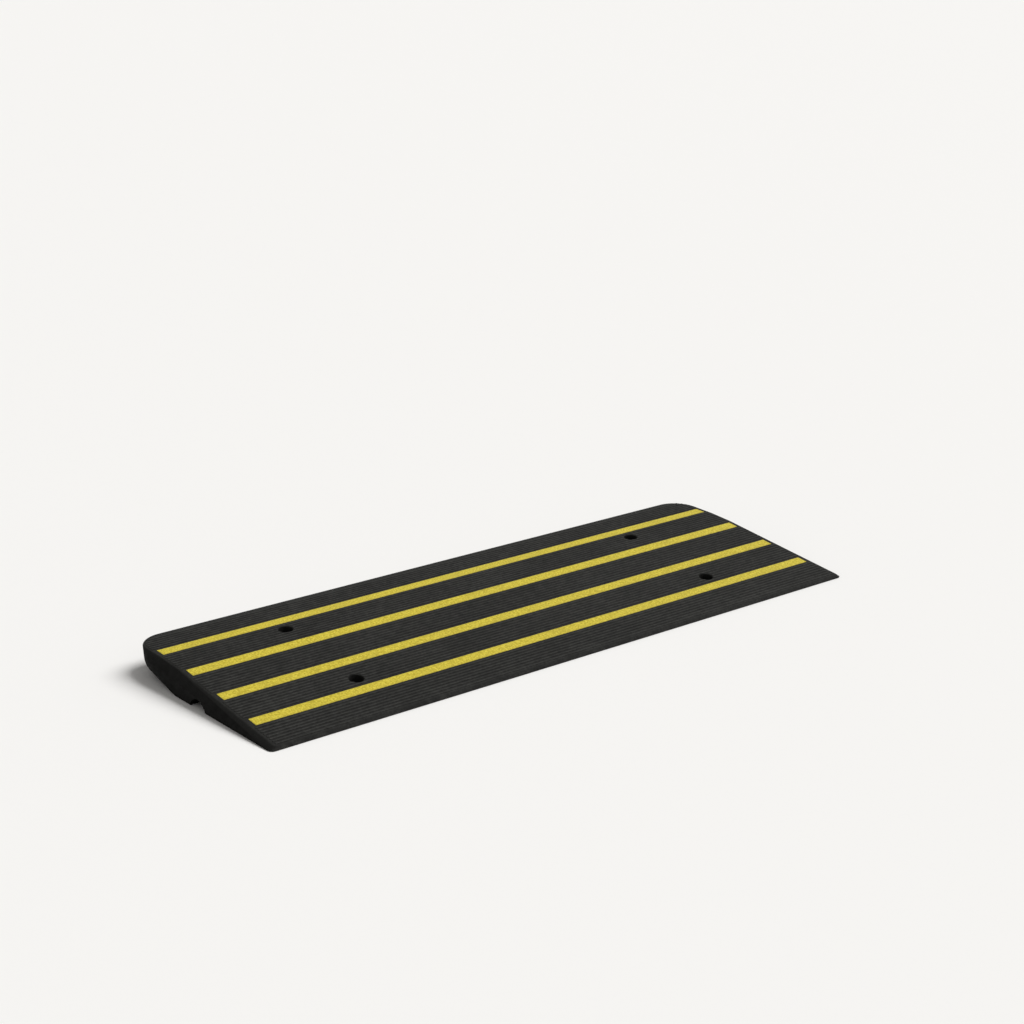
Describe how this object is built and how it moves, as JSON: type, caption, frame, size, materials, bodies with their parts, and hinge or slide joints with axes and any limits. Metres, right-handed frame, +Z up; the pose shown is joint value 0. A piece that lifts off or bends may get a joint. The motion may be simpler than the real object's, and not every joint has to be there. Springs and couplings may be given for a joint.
{
  "type": "threshold ramp",
  "caption": "Solid rubber wedge ramp for a door threshold, with a ribbed deck, reflective strips, a cable channel under it and counterbored anchor holes.",
  "frame": {"origin": "on the ground, at the middle of the ramp's length and depth", "axes": "+X along the doorway, +Y from the low edge towards the high edge, +Z up"},
  "size_m": [1.524, 0.528, 0.059],
  "materials": {
    "ramp_rubber": "moulded, matte",
    "reflective_strip": "glass bead, retroreflective",
    "washer_steel": "dark zinc"
  },
  "bodies": {
    "root": {"ramp_body": "ramp_rubber", "reflective_strip_1": "reflective_strip", "reflective_strip_2": "reflective_strip", "reflective_strip_3": "reflective_strip", "reflective_strip_4": "reflective_strip", "anchor_washers": "washer_steel"}
  },
  "joints": []
}
